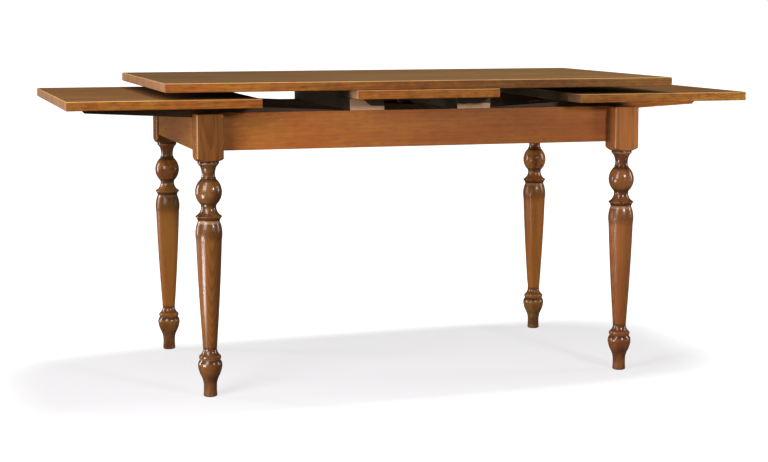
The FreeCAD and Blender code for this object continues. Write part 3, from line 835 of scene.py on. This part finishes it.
# Each lamp: its place, what it looks at, its width and height, its power, and for some the spread of
# its light in degrees and whether gloss mirrors it
LAMPS = {
    "left_softbox": {"place": (-1.75, -1.45, 1.35), "aim": TABLE_MIDDLE, "size": (0.9, 1.2), "power": 27.0},
    "front_softbox": {"place": (0.97, -2.66, 1.55), "aim": TABLE_MIDDLE, "size": (0.35, 0.35),
                      "power": 28.0},
    "high_softbox": {"place": (-1.8, -1.6, 3.0), "aim": TABLE_MIDDLE, "size": (0.6, 0.6), "power": 16.0},
    "ceiling_softbox": {"place": (0.0, 0.0, 3.2), "aim": (0.0, 0.0, 0.0), "size": (1.2, 0.8), "power": 34.0},
    "left_strip": {"place": (-2.8, 1.3, 0.8), "aim": (0.0, 0.0, 0.5), "size": (0.4, 1.6), "power": 34.0},
    "right_strip": {"place": (4.0, -0.75, 1.4), "aim": TABLE_MIDDLE, "size": (0.4, 2.0), "power": 36.0},
    "low_card": {"place": (-1.25, -0.66, 0.13), "aim": (0.5, -0.30, 0.50), "size": (0.35, 0.24),
                 "power": 1.5, "spread": 80.0},
    "right_low_card": {"place": (1.25, -0.95, 0.30), "aim": (0.80, -0.30, 0.735), "size": (0.25, 0.18),
                       "power": 0.6, "spread": 50.0, "mirrored": False},
}

# The camera: the picture's size, the focal length and the row that the lens points at in its pixels,
# the lens in millimetres, how far it sees, and the camera's place and turn
IMAGE_WIDTH = 768.0
IMAGE_HEIGHT = 462.0
FOCAL_PIXELS = 1693.5
LENS_ROW = 170.0
SENSOR_WIDTH = 36.0
VIEW_REACH = 200.0
CAMERA_PLACE = (-1.3927, -4.6156, 1.0078)
CAMERA_YAW = math.radians(16.673)
CAMERA_PITCH = math.radians(5.463)


def seen_white(finish):
    """1 where the camera looks, and a share of it where gloss, metal or glass mirrors the studio."""
    camera = finish.node("ShaderNodeLightPath", out="Is Camera Ray")
    gloss = finish.node("ShaderNodeLightPath", out="Is Glossy Ray")
    through = finish.node("ShaderNodeLightPath", out="Is Transmission Ray")
    return camera + (gloss + through) * MIRRORED_SHARE


def place_object(name, data):
    """Puts a floor, a lamp or a camera into the scene."""
    holder = bpy.data.objects.new(name, data)
    bpy.context.scene.collection.objects.link(holder)
    return holder


def floor_finish():
    """White to the camera, but for a painted shadow in a patch under the table over the lamps' own shadows,
    and dim where it lights the table.
    """
    material = bpy.data.materials.new("white_floor")
    finish = Finish(material)
    x, y, _ = finish.place()
    across = (x - SHADOW_PATCH_MIDDLE[0]) / SHADOW_PATCH_HALF[0]
    deep = (y - SHADOW_PATCH_MIDDLE[1] - x * SHADOW_PATCH_SLANT) / SHADOW_PATCH_HALF[1]
    away = (across * across * across * across + deep * deep * deep * deep) ** 0.25
    camera = finish.node("ShaderNodeLightPath", out="Is Camera Ray")
    pale = finish.blend(camera, FLOOR_DIM, FLOOR_PALE)
    matt = finish.node("ShaderNodeBsdfDiffuse", sockets={"Color": pale})
    # The lower glow in the patch paints the table's shadow on the floor
    glow = finish.blend(away.between(*SHADOW_PATCH_FADES), FLOOR_GLOW_IN_SHADOW, FLOOR_GLOW_FAR)
    glow = finish.blend(seen_white(finish), BLACK, glow)
    lift = finish.node("ShaderNodeEmission", sockets={"Color": glow})
    both = finish.node("ShaderNodeAddShader", sockets={0: matt, 1: lift})
    finish.node("ShaderNodeOutputMaterial", sockets={"Surface": both})
    return material


def make_floor():
    mesh = bpy.data.meshes.new("studio_floor")
    corners = [(-FLOOR_HALF, -FLOOR_HALF, 0.0), (FLOOR_HALF, -FLOOR_HALF, 0.0),
               (FLOOR_HALF, FLOOR_HALF, 0.0), (-FLOOR_HALF, FLOOR_HALF, 0.0)]
    mesh.from_pydata(corners, [], [(0, 1, 2, 3)])
    mesh.materials.append(floor_finish())
    floor = place_object("studio_floor", mesh)


def make_surround():
    """White to the camera, and dim where it lights the table."""
    world = bpy.data.worlds.new("studio_surround")
    bpy.context.scene.world = world
    finish = Finish(world)
    glow = finish.blend(seen_white(finish), SURROUND_DIM, WHITE)
    sky = finish.node("ShaderNodeBackground", sockets={"Color": glow})
    finish.node("ShaderNodeOutputWorld", sockets={"Surface": sky})


def make_lamp(name, place, aim, size, power, spread=FULL_SPREAD, mirrored=True):
    """A soft rectangle of light."""
    lamp = bpy.data.lights.new(name, "AREA")
    lamp.shape = "RECTANGLE"
    lamp.size, lamp.size_y = size
    lamp.energy = power
    lamp.spread = math.radians(spread)
    holder = place_object(name, lamp)
    holder.visible_camera = False
    holder.visible_glossy = mirrored
    holder.location = place
    look = Vector(aim) - Vector(place)
    holder.rotation_euler = look.to_track_quat("-Z", "Y").to_euler()


def make_camera():
    camera = bpy.data.cameras.new("photo_camera")
    camera.sensor_width = SENSOR_WIDTH
    camera.lens = FOCAL_PIXELS / IMAGE_WIDTH * SENSOR_WIDTH
    camera.shift_y = (LENS_ROW - IMAGE_HEIGHT / 2) / IMAGE_WIDTH
    camera.clip_end = VIEW_REACH
    holder = place_object("photo_camera", camera)
    holder.location = CAMERA_PLACE
    holder.rotation_euler = (math.pi / 2 - CAMERA_PITCH, 0.0, -CAMERA_YAW)
    bpy.context.scene.camera = holder


dress_legs()
dress_boards()
dress_rails()
dress_runners()
dress_bearers()
dress_small_pieces()
make_floor()
make_surround()
for lamp_name, lamp_values in LAMPS.items():
    make_lamp(lamp_name, **lamp_values)
make_camera()
bpy.context.scene.view_settings.view_transform = "Standard"
